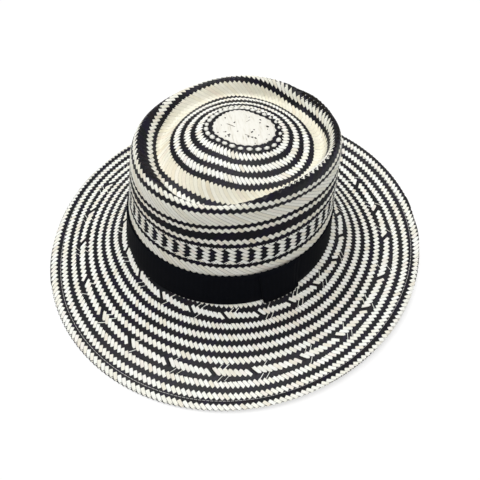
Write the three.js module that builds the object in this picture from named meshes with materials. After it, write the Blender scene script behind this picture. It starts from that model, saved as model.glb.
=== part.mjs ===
// Wide-brim straw hat: a dented oval crown, a dipping brim with a folded hem,
// and a plain ribbon with a flat tab bow. It rests on its brim.
// Millimetres. +Z is up, X runs along the long side of the head oval, and the
// bow sits on the -Y side, towards +X. The origin is below the brim's centre.
import * as THREE from "three";

// ---------------------------------------------------------------- driving sizes

const facets = 60; // facets round the hat
const clearance = 0.3; // space left between neighbouring pieces

const crownStraw = 1.6; // thickness of the woven crown
const brimStraw = 1.4; // thickness of the woven brim
const hemStraw = 2.4; // thickness of the brim's folded edge
const hemWidth = 9; // how far the folded edge reaches inwards

// The head oval, measured outside the straw where the crown meets the brim.
const headHalfLong = 94.7;
const headHalfWide = 90;

// The brim falls from the head oval in a curve that levels out over the resting
// line and may rise again outside it. Distances are level, from the head oval.
const brimDrop = 28.3; // fall from the head oval to the resting line
const brimCurve = 1.83; // how fast the fall levels out; 2 is a parabola
const pressedFlat = 0.4; // the resting line is worn flat by this much
const headOffset = { x: -6.1, y: -0.8 }; // the head oval's centre, seen from the brim's

// Each brim line is a mean distance and what is added to it towards the right
// (+X), towards the back (+Y), at both ends of the oval, and on the diagonal.
const restingLine = { mean: 71, right: -13.2, back: 7.9, ends: 1.8, diagonal: 0 };
const brimEdge = { mean: 83.4, right: 6.1, back: 0.6, ends: 0.5, diagonal: 3.2 };

// Crown sections from the middle of the tip, over the raised rim, down to the
// brim. Heights are above the head oval; turn is in degrees, seen from above;
// rise is the share of the rim's own ups and downs that a section follows. The
// middle is a low dome, a channel runs round it, and the rim stands proud.
const crownSections = [
  { height: 109.4, halfLong: 0, halfWide: 0, x: 13.5, y: 3, turn: -18, rise: 0 },
  { height: 109.3, halfLong: 13, halfWide: 10.6, x: 13.5, y: 3, turn: -18, rise: 0 },
  { height: 107.6, halfLong: 24.5, halfWide: 20.5, x: 13.5, y: 3, turn: -18, rise: 0 },
  { height: 102.9, halfLong: 38.2, halfWide: 33.2, x: 12.9, y: 3, turn: -14, rise: 0 },
  { height: 98.9, halfLong: 47.1, halfWide: 42.1, x: 12.7, y: 3, turn: -11, rise: 0 },
  { height: 94.8, halfLong: 55.9, halfWide: 51, x: 12.6, y: 3, turn: -10, rise: 0.1 },
  { height: 91.4, halfLong: 63.2, halfWide: 56.8, x: 11.4, y: 3.3, turn: -7, rise: 0.4 },
  { height: 93.6, halfLong: 70.4, halfWide: 62.6, x: 10.2, y: 3.8, turn: -3, rise: 0.75 },
  { height: 100.2, halfLong: 75.2, halfWide: 67, x: 9.3, y: 4.3, turn: 0, rise: 1 },
  { height: 103.5, halfLong: 77.5, halfWide: 69, x: 9, y: 4.4, turn: 0, rise: 1 },
  { height: 101.4, halfLong: 81, halfWide: 71.9, x: 8.3, y: 4.3, turn: 0, rise: 1 },
  { height: 95, halfLong: 84, halfWide: 73.2, x: 7.4, y: 3.6, turn: 0, rise: 0.95 },
  { height: 84, halfLong: 85.8, halfWide: 73.9, x: 6.6, y: 3, turn: 0, rise: 0.8 },
  { height: 56, halfLong: 88.8, halfWide: 79.2, x: 4.4, y: 2, turn: 0, rise: 0 },
  { height: 28, halfLong: 91.7, halfWide: 84.6, x: 2.2, y: 1, turn: 0, rise: 0 },
  { height: 0, halfLong: headHalfLong, halfWide: headHalfWide, x: 0, y: 0, turn: 0, rise: 0 },
];

// The rim's ups and downs: added towards the right and the back, then twice and
// three times round, each with its diagonal part.
const rimRise = { mean: 0, right: 3.5, back: -0.8, ends: 1.2, diagonal: -2.7, third: -3.2, shifted: -0.8 };

// Shares of the brim's width at which its faces break, top and underside.
const brimTopStations = [0, 0.1, 0.22, 0.36, 0.5, 0.63, 0.74, 0.83, 0.91, 0.97];
const brimUnderStations = [0.94, 0.85, 0.8, 0.75, 0.7, 0.62, 0.5, 0.36, 0.2, 0.08];

const ribbon = { width: 32, thickness: 1.2 };
const bow = {
  from: -80.5, // degrees round the hat, from +X, at its lower edge
  to: -61.5,
  thickness: 2.4,
  overhang: 0.6, // how far it reaches above the ribbon
  lean: -3.5, // degrees by which the left end leans out at the upper edge
};

const creamStraw = { color: 0xe6e2d0, roughness: 0.62, metalness: 0 };
const stripedStraw = { color: 0x8f8e8c, roughness: 0.6, metalness: 0 };
const ribbonCloth = { color: 0x090b11, roughness: 0.8, metalness: 0 };
const bowCloth = { color: 0x0b0d14, roughness: 0.8, metalness: 0 };

// ------------------------------------------------------------------- hat shape

const headHeight = brimStraw - pressedFlat + brimDrop;

// A brim line's distance from the head oval, at an angle round the hat.
function lineAt(line, angle) {
  return (
    line.mean +
    line.right * Math.cos(angle) +
    line.back * Math.sin(angle) +
    line.ends * Math.cos(2 * angle) +
    line.diagonal * Math.sin(2 * angle) +
    (line.third ?? 0) * Math.cos(3 * angle) +
    (line.shifted ?? 0) * Math.sin(3 * angle)
  );
}

// The point a level distance out from the head oval, at right angles to it.
function outFromHead(angle, distance) {
  const out = new THREE.Vector2(
    headHalfWide * Math.cos(angle),
    headHalfLong * Math.sin(angle),
  ).normalize();
  return new THREE.Vector3(
    headOffset.x + headHalfLong * Math.cos(angle) + distance * out.x,
    headOffset.y + headHalfWide * Math.sin(angle) + distance * out.y,
    0,
  );
}

// How high the brim's top face is, a level distance out from the head oval.
function brimHeight(angle, distance) {
  const left = Math.abs(1 - distance / lineAt(restingLine, angle));
  const rise = brimDrop * left ** brimCurve - pressedFlat;
  return brimStraw + Math.max(0, rise);
}

// A crown section's point at an angle, moved out by a distance in plan.
function sectionPoint(section, angle, outwards) {
  const long = Math.max(0, section.halfLong + outwards);
  const wide = Math.max(0, section.halfWide + outwards);
  const turn = THREE.MathUtils.degToRad(section.turn);
  // Starting the angle back by the turn keeps the seams of all sections in line.
  const point = new THREE.Vector3(
    long * Math.cos(angle - turn),
    wide * Math.sin(angle - turn),
    0,
  ).applyAxisAngle(new THREE.Vector3(0, 0, 1), turn);
  return point.add(
    new THREE.Vector3(
      headOffset.x + section.x,
      headOffset.y + section.y,
      headHeight + section.height + section.rise * lineAt(rimRise, angle),
    ),
  );
}

// The crown's outside line at an angle, from the tip's middle to the brim.
function crownLine(angle) {
  return crownSections.map((section) => sectionPoint(section, angle, 0));
}

// The crown's section at a height on its wall, by interpolating the table.
function wallSection(height) {
  const below = crownSections.findLastIndex((section) => section.height > height);
  const high = crownSections[below];
  const low = crownSections[below + 1];
  const share = (high.height - height) / (high.height - low.height);
  const between = (key) => THREE.MathUtils.lerp(high[key], low[key], share);
  return {
    height,
    halfLong: between("halfLong"),
    halfWide: between("halfWide"),
    x: between("x"),
    y: between("y"),
    turn: between("turn"),
    rise: between("rise"),
  };
}

// ------------------------------------------------------------- building meshes

// A closed solid from loops of points, each loop one cut through the piece.
// Loops follow one another round the hat; with ends they stop, and are closed
// by flat ends. Where a loop's first and last points are poles, it is a dome.
function solidFromLoops(loops, { ends = false, poles = false } = {}) {
  const positions = loops.flat().flatMap((point) => point.toArray());
  const size = loops[0].length;
  const index = [];
  const vertex = (loop, i) => (loop % loops.length) * size + (i % size);
  const lastLoop = ends ? loops.length - 1 : loops.length;
  const lastPoint = poles ? size - 1 : size;
  for (let loop = 0; loop < lastLoop; loop++) {
    for (let i = 0; i < lastPoint; i++) {
      const a = vertex(loop, i);
      const b = vertex(loop, i + 1);
      const c = vertex(loop + 1, i + 1);
      const d = vertex(loop + 1, i);
      // At a pole one side of the four-sided face shrinks to a point.
      if (!(poles && i === size - 2)) index.push(a, b, c);
      if (!(poles && i === 0)) index.push(a, c, d);
      if (poles && i === size - 2) index.push(a, b, c);
    }
  }
  if (ends) {
    for (let i = 1; i < size - 1; i++) {
      index.push(vertex(0, 0), vertex(0, i + 1), vertex(0, i));
      const last = loops.length - 1;
      index.push(vertex(last, 0), vertex(last, i), vertex(last, i + 1));
    }
  }
  const geometry = new THREE.BufferGeometry();
  geometry.setAttribute("position", new THREE.Float32BufferAttribute(positions, 3));
  geometry.setIndex(index);
  geometry.computeVertexNormals();
  return geometry;
}

function anglesRound() {
  return Array.from({ length: facets }, (_, i) => (i / facets) * 2 * Math.PI);
}

function piece(name, geometry, finish) {
  const mesh = new THREE.Mesh(geometry, new THREE.MeshStandardMaterial(finish));
  mesh.name = name;
  return mesh;
}

// ------------------------------------------------------------------- the crown

// The inside line is the outside one moved in, at right angles to it.
function movedIn(line, thickness, centre) {
  return line.map((point, i) => {
    const before = line[Math.max(0, i - 1)];
    const after = line[Math.min(line.length - 1, i + 1)];
    const along = after.clone().sub(before).normalize();
    const radial = point.clone().sub(centre).setZ(0).normalize();
    const side = new THREE.Vector3(-radial.y, radial.x, 0);
    const inward = side.cross(along).normalize();
    return point.clone().addScaledVector(inward, thickness);
  });
}

function crown() {
  const middle = sectionPoint(crownSections[0], 0, 0);
  const loops = anglesRound().map((angle) => {
    const outside = crownLine(angle);
    outside.at(-1).z += clearance;
    const inside = movedIn(outside.slice(1, -1), crownStraw, middle);
    const foot = sectionPoint(crownSections.at(-1), angle, -crownStraw);
    foot.z += clearance;
    const innerPole = middle.clone().setZ(middle.z - crownStraw);
    return [...outside, foot, ...inside.reverse(), innerPole];
  });
  return piece("crown", solidFromLoops(loops, { poles: true }), stripedStraw);
}

// -------------------------------------------------------------------- the brim

function brim() {
  const loops = anglesRound().map((angle) => {
    const width = lineAt(brimEdge, angle);
    const hemShare = 1 - hemWidth / width;
    const at = (distance, thickness) => {
      const point = outFromHead(angle, distance);
      const top = brimHeight(angle, Math.max(0, distance));
      point.z = Math.max(0, top - thickness);
      return point;
    };
    const top = brimTopStations.map((share) => at(share * width, 0));
    const fold = at(width, hemStraw / 2);
    fold.z = Math.max(fold.z, top.at(-1).z / 2);
    const hem = [at(0.975 * width, hemStraw), at((hemShare + 0.006) * width, hemStraw)];
    const under = [hemShare, ...brimUnderStations.slice(1)];
    const underside = under.map((share) => at(share * width, brimStraw));
    // The crown's wall stands on the brim's inner edge.
    const innerTop = outFromHead(angle, -crownStraw - 0.2).setZ(headHeight);
    const innerUnder = innerTop.clone().setZ(headHeight - brimStraw);
    return [innerTop, ...top, fold, ...hem, ...underside, innerUnder];
  });
  return piece("brim", solidFromLoops(loops), creamStraw);
}

// --------------------------------------------------------- the ribbon and bow

// A cut through cloth lying round the crown's wall, between two heights. The cut
// may lean, and is then further round the hat at its upper edge.
function clothLoop({ angle, lean = 0, low, high, inside, thickness }) {
  const levels = [high, (high + low) / 2, low];
  const side = (outwards) =>
    levels.map((z) => {
      const up = (z - low) / (high - low);
      return sectionPoint(wallSection(z), angle + lean * up, outwards);
    });
  return [...side(inside + thickness), ...side(inside).reverse()];
}

function ribbonBand() {
  const cut = {
    low: clearance,
    high: ribbon.width,
    inside: clearance,
    thickness: ribbon.thickness,
  };
  const loops = anglesRound().map((angle) => clothLoop({ angle, ...cut }));
  return piece("ribbon_band", solidFromLoops(loops), ribbonCloth);
}

// The bow is one flat folded tab over the ribbon's joint.
function bowTab() {
  const steps = 8;
  const loops = [];
  for (let i = 0; i <= steps; i++) {
    const share = i / steps;
    // Its two ends are pressed thinner, as folded cloth is.
    const endSoftness = Math.min(1, 0.45 + 4 * Math.min(share, 1 - share));
    loops.push(
      clothLoop({
        angle: THREE.MathUtils.degToRad(THREE.MathUtils.lerp(bow.from, bow.to, share)),
        lean: THREE.MathUtils.degToRad(bow.lean * (1 - share)),
        low: clearance,
        high: ribbon.width + bow.overhang,
        inside: 2 * clearance + ribbon.thickness,
        thickness: bow.thickness * endSoftness,
      }),
    );
  }
  return piece("bow_tab", solidFromLoops(loops, { ends: true }), bowCloth);
}

const hat = new THREE.Group();
hat.name = "straw_hat";
hat.add(crown(), brim(), ribbonBand(), bowTab());

export default hat;
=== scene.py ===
import math

import bmesh
import bpy
import numpy as np
from mathutils import Matrix, Vector


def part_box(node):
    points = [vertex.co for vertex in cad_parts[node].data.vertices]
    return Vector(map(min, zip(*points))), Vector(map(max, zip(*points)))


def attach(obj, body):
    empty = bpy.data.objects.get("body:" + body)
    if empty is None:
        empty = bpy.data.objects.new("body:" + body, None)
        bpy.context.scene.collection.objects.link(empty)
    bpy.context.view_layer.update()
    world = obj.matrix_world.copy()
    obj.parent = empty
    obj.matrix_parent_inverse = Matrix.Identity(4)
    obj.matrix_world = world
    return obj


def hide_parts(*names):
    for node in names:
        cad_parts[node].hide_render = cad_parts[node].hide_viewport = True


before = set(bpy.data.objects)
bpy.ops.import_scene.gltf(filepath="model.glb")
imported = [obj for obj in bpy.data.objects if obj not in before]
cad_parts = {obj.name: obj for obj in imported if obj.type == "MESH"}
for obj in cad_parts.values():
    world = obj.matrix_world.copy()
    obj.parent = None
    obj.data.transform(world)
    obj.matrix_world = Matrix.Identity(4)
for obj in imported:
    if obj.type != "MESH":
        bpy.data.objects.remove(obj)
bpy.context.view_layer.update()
mm = 0.001  # lengths are in millimetres, unless a note says otherwise
rowStep = 0.25  # between the lines of a woven surface, in rows of the weave

# the hat's shape, shared by every woven piece
crownLow, crownHigh = [np.array(corner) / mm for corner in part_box("crown")]

head = dict(
    centre=(crownLow[:2] + crownHigh[:2]) / 2,  # of the oval where crown and brim meet
    halfLong=(crownHigh[0] - crownLow[0]) / 2,
    halfWide=(crownHigh[1] - crownLow[1]) / 2,
    height=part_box("brim")[1][2] / mm,
)

brimShape = dict(
    drop=28.3,  # fall from the head oval to the resting line
    curve=1.83,
    pressed=0.4,  # how far the resting line is worn flat
    pressedEase=0.02,  # how softly it is
    straw=1.4,
    inside=4,  # how far the surface goes on inside the head oval
    # a line: its mean distance out, then what the right, the back, both ends
    # and the diagonal add
    restingLine=(71, -13.2, 7.9, 1.8, 0),
    edgeLine=(83.4, 6.1, 0.6, 0.5, 3.2),
    foldRadius=0.8,
    hemWidth=9,
    hemStart=0.05,  # its share that the fold takes
    hemLowest=0.15,
    # stations inside the head oval, out to the edge, round the fold, and along
    # the hem
    steps=(8, 200, 8, 12),
    angles=720,
)

# crown sections from the tip's middle over the rim to the brim: height, half
# length, half width, x, y, turn in degrees, and rise, the share of the rim's
# ups and downs that a section follows; the tip's start with their row
crownShape = dict(
    tip=[
        (75, 109.4, 0, 0, 13.5, 3.0, -18, 0),
        (71.5, 109.3, 13, 10.6, 13.5, 3.0, -18, 0),
        (67.6, 107.6, 24.5, 20.5, 13.5, 3.0, -18, 0),
        (66.2, 106.2, 29.6, 25.2, 13.4, 3.0, -17, 0),
        (62.5, 102.9, 38.2, 33.2, 12.9, 3.0, -14, 0),
        (58.5, 98.9, 47.1, 42.1, 12.7, 3.0, -11, 0),
        (54.5, 94.8, 55.9, 51.0, 12.6, 3.0, -10, 0.1),
    ],
    wall=[
        (103.5, 77.5, 69.0, 9.0, 4.4, 0, 1),
        (101.4, 81.0, 71.9, 8.3, 4.3, 0, 1),
        (95.0, 84.0, 73.2, 7.4, 3.6, 0, 0.95),
        (84, 85.8, 73.9, 6.6, 3.0, 0, 0.8),
        (56, 88.8, 79.2, 4.4, 2.0, 0, 0.53),
        (28, 91.7, 84.6, 2.2, 1.0, 0, 0.27),
        (0, head["halfLong"], head["halfWide"], 0, 0, 0, 0),
    ],
    rimRise=(0, 3.5, -0.8, 1.2, -2.7, -3.2, -0.8),
    egg=(0, 0, 0, 0, 0, 1.0, -0.8),
    # places round the crown in degrees: how far its rim swells out
    swell=[(-180, 0), (-60, 0), (5, 0), (15, 1.0), (28, 1.9), (42, 0.0), (60, -0.2), (80, 0)],
    firstRow=-17,  # the row at the brim
    lowestRow=-18,  # of the surface
    dentSpacing=2.3,  # of the rows across the dent
    dentRound=0.12,  # how round its two sides are
    # places round the crown in degrees: the row that lies on the rim
    rimRow=[
        (-180, 39.1), (-158, 40.7), (-130, 39.5), (-105, 39), (-75, 42.5), (-45, 43.7),
        (-15, 41.2), (20, 42.9), (60, 43.4), (90, 45), (120, 43.8), (150, 40.5),
    ],
    # how many rows the tip's rings stray outwards, less over the innermost ones
    tipStrayFade=8,
    tipStray=[
        (-180, -0.2), (-150, 1.0), (-125, 1.9), (-90, 0.5), (-50, -1.1), (-10, 0.1),
        (40, 0.5), (85, -1.3), (130, -0.7),
    ],
    # where the weave is pulled up by some rows: the place and how far round it
    # reaches, in degrees, the row and how many rows it reaches, and the pull
    pulls=[
        (-150, 85, 10, 27, 2.1),  # the wall, left of the bow
        (-85, 70, 26, 12, 1.3),  # over the bow
        (5, 75, 8, 26, 1.5),  # the wall at the right
        (-55, 40, 37, 9, -1.3),
        (180, 40, 34, 10, -1.8),
        (-118, 75, 38, 12, 0.7),
        (-145, 80, 47.5, 6.5, 2.1),  # the dent at the left
        (-25, 90, 46.5, 7, 0.9),
        (30, 42, 46.5, 7, 3.2),  # the rim at the back right, and the dent inside it
        (30, 42, 51.5, 4.5, 2.2),
        (80, 52, 54, 6, -1.8),  # the tip's outer ring at the back
        (-120, 32, 65, 8, -0.7),
        (-60, 36, 64, 8, 0.6),
        (20, 70, 63, 8, -0.4),
    ],
    # how far from the rim towards the tip's outer ring the dent is deepest
    dentAt=[(-180, 0.5), (-150, 0.3), (-120, 0.16), (-90, 0.2), (-45, 0.4), (0, 0.45), (90, 0.5)],
    dentMost=10.5,
    steps=8,  # between two sections
    angles=720,
)


def lineAt(line, angle):
    mean, right, back, ends, diagonal, third, shifted = [*line, 0, 0][:7]
    once = right * np.cos(angle) + back * np.sin(angle)
    twice = ends * np.cos(2 * angle) + diagonal * np.sin(2 * angle)
    return mean + once + twice + third * np.cos(3 * angle) + shifted * np.sin(3 * angle)


def atPlaces(places, angle):
    # a smooth closed line through values given at a few places round the hat
    at = np.radians([place for place, _ in places])
    values = np.array([value for _, value in places], float)
    at = np.concatenate([at[-2:] - 2 * math.pi, at, at[:3] + 2 * math.pi])
    values = np.concatenate([values[-2:], values, values[:3]])
    slopes = (values[2:] - values[:-2]) / (at[2:] - at[:-2])
    wrapped = (angle + math.pi) % (2 * math.pi) - math.pi
    i = np.clip(np.searchsorted(at, wrapped, side="right") - 1, 1, len(at) - 3)
    span = at[i + 1] - at[i]
    t = (wrapped - at[i]) / span
    return (
        (2 * t**3 - 3 * t**2 + 1) * values[i]
        + (t**3 - 2 * t**2 + t) * span * slopes[i - 1]
        + (3 * t**2 - 2 * t**3) * values[i + 1]
        + (t**3 - t**2) * span * slopes[i]
    )


def swell(offset, reach):
    # from one in the middle, smoothly down to nothing at its reach
    return np.cos(math.pi / 2 * np.clip(offset / reach, -1, 1)) ** 2


def pulled(pulls, row, angle):
    # how far a list of pulls moves rows at the angles
    total = 0.0
    for place, reach, middle, rows, most in pulls:
        turned = (np.degrees(angle) - place + 180) % 360 - 180
        total = total + most * swell(turned, reach) * swell(row - middle, rows)
    return total


def smoothLine(knots, steps):
    # a Catmull-Rom curve through the knots, along the first axis
    padded = np.concatenate([2 * knots[:1] - knots[1:2], knots, 2 * knots[-1:] - knots[-2:-1]])
    share = np.linspace(0, 1, steps, endpoint=False).reshape((1, steps) + (1,) * (knots.ndim - 1))
    a, b, c, d = [padded[i : len(padded) - 3 + i][:, None] for i in range(4)]
    curve = 0.5 * (
        2 * b
        + (c - a) * share
        + (2 * a - 5 * b + 4 * c - d) * share**2
        + (3 * b - a - 3 * c + d) * share**3
    )
    curve = curve.reshape((-1,) + knots.shape[1:])
    return np.concatenate([curve, knots[-1:]])


def pointsAt(wanted, known, line):
    # the points of a surface's lines (the second axis) where the known measure
    # along each of them has the wanted values
    points = np.empty(wanted.shape + (3,))
    for i in range(wanted.shape[1]):
        for axis in range(3):
            points[:, i, axis] = np.interp(wanted[:, i], known[:, i], line[:, i, axis])
    return points


def lengthAlong(line):
    steps = np.linalg.norm(np.diff(line, axis=0), axis=-1)
    return np.concatenate([np.zeros((1,) + steps.shape[1:]), np.cumsum(steps, axis=0)])


class WovenSurface:
    # A surface that the rows of the weave run round. It places a point by its
    # row, its share of the way round, and its lift off the surface.
    def __init__(self, rows, points):
        # points: rows x angles x 3, even angles of the hat; each row is spaced
        # again by its own length, starting at the side of the bow (-Y)
        self.firstRow, self.rowStep = rows[0], rows[1] - rows[0]
        count = points.shape[1]
        turned = np.roll(points, -(count * 3) // 4, axis=1)
        closed = np.concatenate([turned, turned[:, :1]], axis=1).swapaxes(0, 1)
        length = lengthAlong(closed)
        even = np.linspace(0, 1, count, endpoint=False)[:, None]
        spaced = pointsAt(even * length[-1], length, closed).swapaxes(0, 1)
        self.points = spaced
        across = np.gradient(spaced, axis=0)
        along = (np.roll(spaced, -1, axis=1) - np.roll(spaced, 1, axis=1)) / 2
        normals = np.cross(along, across)
        normals /= np.maximum(np.linalg.norm(normals, axis=2, keepdims=True), 1e-9)
        self.normals = normals
        self.rowCount, self.angleCount = spaced.shape[:2]

    def sample(self, table, row, turn):
        last = self.rowCount - 1.001  # just short of the last line
        r = np.clip((row - self.firstRow) / self.rowStep, 0, last)
        a = (turn % 1.0) * self.angleCount
        r0, a0 = r.astype(int), a.astype(int) % self.angleCount
        fr, fa = (r - r0)[..., None], (a - np.floor(a))[..., None]
        a1 = (a0 + 1) % self.angleCount
        near = table[r0, a0] * (1 - fa) + table[r0, a1] * fa
        far = table[r0 + 1, a0] * (1 - fa) + table[r0 + 1, a1] * fa
        return near * (1 - fr) + far * fr

    def place(self, row, turn, lift):
        normal = self.sample(self.normals, row, turn)
        return self.sample(self.points, row, turn) + normal * lift[..., None]

    def rowLength(self, row, samples=361):
        turns = np.linspace(0, 1, samples)
        return lengthAlong(self.sample(self.points, np.full(samples, float(row)), turns))[-1]


def headPoint(angle, distance, height):
    # a level distance out from the head oval, at right angles to it
    out = np.stack([head["halfWide"] * np.cos(angle), head["halfLong"] * np.sin(angle)], -1)
    out /= np.linalg.norm(out, axis=-1, keepdims=True)
    oval = np.stack([head["halfLong"] * np.cos(angle), head["halfWide"] * np.sin(angle)], -1)
    plan = head["centre"] + oval + distance[..., None] * out
    return np.concatenate([plan, height[..., None]], axis=-1)


def brimHeight(angle, distance):
    s = brimShape
    share = np.abs(1 - distance / lineAt(s["restingLine"], angle))
    rise = s["drop"] * share ** s["curve"] - s["pressed"]
    # the resting line is pressed flat, without an edge
    return s["straw"] + 0.5 * (rise + np.sqrt(rise**2 + s["pressedEase"]))


brimWeave = dict(
    rowSpacing=2.4,
    # where the middle of the outermost full dark ring runs, along the straw
    ringLine=(81.95, 6.32, -1.37, 0.54, 1.06),
    rows=(-10, 38),
    # where the weave is pulled inwards, as the crown's pulls
    pulls=[
        (-115, 80, 0, 14, -0.4),  # the front's outer rings
        (-12, 28, 14, 22, -1.1),
        (-35, 45, -5, 7, -1.6),  # the edge, right of the bow
        (-50, 40, 18, 12, -0.3),
        (22, 35, 21, 13, 1.5),  # the dip at the right
        (12, 45, 33, 9, 0.9),
        (90, 100, -4, 14, -1.6),  # the edge at the back
        (175, 28, 3, 9, 0.7),
        (-160, 28, 26, 14, 0.4),
        (182, 18, 25, 12, -0.4),
        (145, 32, 26, 14, 0.35),
        (-90, 32, 33, 9, -0.5),
    ],
    underDepth=1.05,  # how far the underside's straw lies below the top's
    underFree=(0.4, 0.6),  # rows left free by the hem's end and the head oval
)


def brimSurface():
    s = brimShape
    insideSteps, outSteps, foldSteps, hemSteps = s["steps"]
    angles = np.linspace(0, 2 * math.pi, s["angles"], endpoint=False)
    edge = lineAt(s["edgeLine"], angles)
    inside = np.linspace(-s["inside"], 0, insideSteps + 1)[:-1, None]
    outside = np.linspace(0, 1, outSteps)[:, None] * edge
    distance = np.concatenate([np.broadcast_to(inside, (insideSteps, len(angles))), outside])
    line = headPoint(np.broadcast_to(angles, distance.shape), distance, brimHeight(angles, distance))
    # the edge folds under: half a turn, then back inwards
    radius = s["foldRadius"]
    end, before = line[-1], line[-2]
    out = (end - before) / np.linalg.norm(end - before, axis=-1, keepdims=True)
    up = np.array([0, 0, 1.0])
    turn = np.linspace(0, math.pi, foldSteps + 1)[1:, None, None]
    fold = end + out * radius * np.sin(turn) - up * radius * (1 - np.cos(turn))
    back = np.linspace(s["hemStart"], 1, hemSteps)[:, None]
    hemDistance = edge - back * s["hemWidth"]
    hemHeight = np.maximum(brimHeight(angles, hemDistance) - 2 * radius, s["hemLowest"])
    hem = headPoint(np.broadcast_to(angles, hemDistance.shape), hemDistance, hemHeight)
    line = np.concatenate([line, fold, hem])
    length = lengthAlong(line)
    length -= length[insideSteps]  # the head oval
    spacing = brimWeave["rowSpacing"]
    firstRow, lastRow = brimWeave["rows"]
    rows = np.arange(firstRow, lastRow + rowStep / 2, rowStep)
    ring = lineAt(brimWeave["ringLine"], angles)
    shifted = rows[:, None] + pulled(brimWeave["pulls"], rows[:, None], angles)
    surface = WovenSurface(rows, pointsAt(ring - (shifted - 0.5) * spacing, length, line))
    # rows that lie inside the head oval or past the hem's end aren't woven
    surface.rowLimits = [(ring - length[end]) / spacing + 0.5 for end in (-1, 0)]
    surface.edgeRow = (ring - length[insideSteps + outSteps - 1]) / spacing + 0.5
    return surface


def sectionPoints(section, angles):
    height, halfLong, halfWide, x, y, turnDegrees, rise = section
    turn = math.radians(turnDegrees)
    egg = (lineAt(crownShape["egg"], angles) + atPlaces(crownShape["swell"], angles)) * rise
    u = (halfLong + egg) * np.cos(angles - turn)
    v = (halfWide + egg) * np.sin(angles - turn)
    return np.stack(
        [
            head["centre"][0] + x + u * math.cos(turn) - v * math.sin(turn),
            head["centre"][1] + y + u * math.sin(turn) + v * math.cos(turn),
            head["height"] + height + rise * lineAt(crownShape["rimRise"], angles),
        ],
        -1,
    )


def dentSections(rim, ring, rows, angles):
    # the dent's sections between the tip's outer ring and the rim, as deep as
    # the straw between them is long
    s = crownShape
    across = np.linalg.norm(rim - ring, axis=1)
    slack = np.maximum((rows * s["dentSpacing"]) ** 2 - across**2, 0)
    depth = np.minimum(0.5 * np.sqrt(slack), s["dentMost"])[:, None]
    share = atPlaces(s["dentAt"], angles)[:, None]
    down = np.array([0, 0, -1.0])
    bottom = rim + (ring - rim) * share + down * depth
    inner = rim + (bottom - rim) * 0.5 - down * s["dentRound"] * depth
    outer = bottom + (ring - bottom) * 0.5 + down * s["dentRound"] * depth
    return np.stack([outer, bottom, inner])


def crownSurface():
    s = crownShape
    angles = np.linspace(0, 2 * math.pi, s["angles"], endpoint=False)
    tip = np.stack([sectionPoints(section[1:], angles) for section in s["tip"]])
    wall = np.stack([sectionPoints(section, angles) for section in s["wall"]])
    tipRows = np.array([section[0] for section in s["tip"]], float)
    rimRow, stray = atPlaces(s["rimRow"], angles), atPlaces(s["tipStray"], angles)
    dent = dentSections(wall[0], tip[-1], tipRows[-1] - stray - rimRow, angles)
    line = smoothLine(np.concatenate([tip, dent, wall]), s["steps"])
    length = lengthAlong(line)
    strayShare = np.clip((tipRows[0] - tipRows) / s["tipStrayFade"], 0, 1)
    # rows are known at the tip's sections, at the rim and at the brim
    known = [i * s["steps"] for i in [*range(len(tip)), len(tip) + len(dent)]] + [len(line) - 1]
    rows = np.arange(s["lowestRow"], tipRows[0] + rowStep / 2, rowStep)
    rowAt = np.empty(length.shape)
    for i, at in enumerate(length.T):
        knownRow = [*(tipRows - stray[i] * strayShare), rimRow[i], s["firstRow"]]
        rowAt[:, i] = np.interp(at, at[known], knownRow)
    rowAt = rowAt - pulled(s["pulls"], rowAt, angles)
    wanted = np.broadcast_to(rows[:, None], (len(rows), len(angles)))
    return WovenSurface(rows, pointsAt(wanted, rowAt[::-1], line[::-1]))


# a float is one straw where it lies on top of the weave; lengths along it and
# across it are in crossings
floatShape = dict(
    lift=0.16,  # how far a float's middle stands above the surface
    edgeFall=0.12,  # how far its two edges lie below its middle
    endFall=0.45,  # how far its ends dive under their neighbours
    tuck=0.3,  # how far the ends reach under, in crossings
    strands=(-0.5, -0.41, 0.41, 0.5),  # lines along it, across its width
    mostStations=4,  # between its ends
    jitter=0.08,  # by which floats lie higher or lower
    crossing=(3.2, 3),  # a crossing's length and width, for the grain
    grainShift=(97, 89),  # by which one float's grain may differ from another's
    sharp=12,  # degrees between two faces with a sharp edge
    # how much lower it lies, from a crossing's edge to where the end starts
    # to dive, and its width in the middle and at its ends
    cream=dict(fall=0.0, shoulder=0.22, width=0.97, endWidth=0.68),
    dark=dict(fall=0.06, shoulder=0.1, width=1.08, endWidth=1.0),
)


class FloatList:
    # Rings of floats. A float has its innermost crossing (row, turn), its count
    # of crossings, its way (cream straws run one way and dark ones the other),
    # how much it grows at its inner end, and draws for its colour.
    def __init__(self, seed):
        self.random = np.random.default_rng(seed)
        self.parts = []

    def add(
        self, row, turn, count, strands, cream,
        way=None, width=1.0, grow=0.0, lift=0.0, warm=0.0, glaze=1.0,
    ):
        row = np.atleast_1d(np.asarray(row, float))
        part = dict(count=count, strands=strands, cream=cream, warm=warm, glaze=glaze)
        part["way"] = way or (1 if cream else -1)
        for key, value in dict(turn=turn, width=width, grow=grow, lift=lift).items():
            part[key] = np.broadcast_to(np.asarray(value, float), row.shape).copy()
        part["row"] = row
        part["tone"] = self.random.random((row.size, 3))
        self.parts.append(part)


perFloat = ("row", "turn", "width", "grow", "lift", "tone")


def linked(name, mesh):
    piece = bpy.data.objects.new(name, mesh)
    bpy.context.scene.collection.objects.link(piece)
    return piece


def meshFrom(name, shape):
    # ends a bmesh
    mesh = bpy.data.meshes.new(name)
    shape.to_mesh(mesh)
    shape.free()
    return mesh


def gridMesh(name, alongCount, acrossCount):
    shape = bmesh.new()
    bmesh.ops.create_grid(shape, x_segments=alongCount, y_segments=acrossCount, size=0.5)
    return meshFrom(name, shape)


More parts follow.
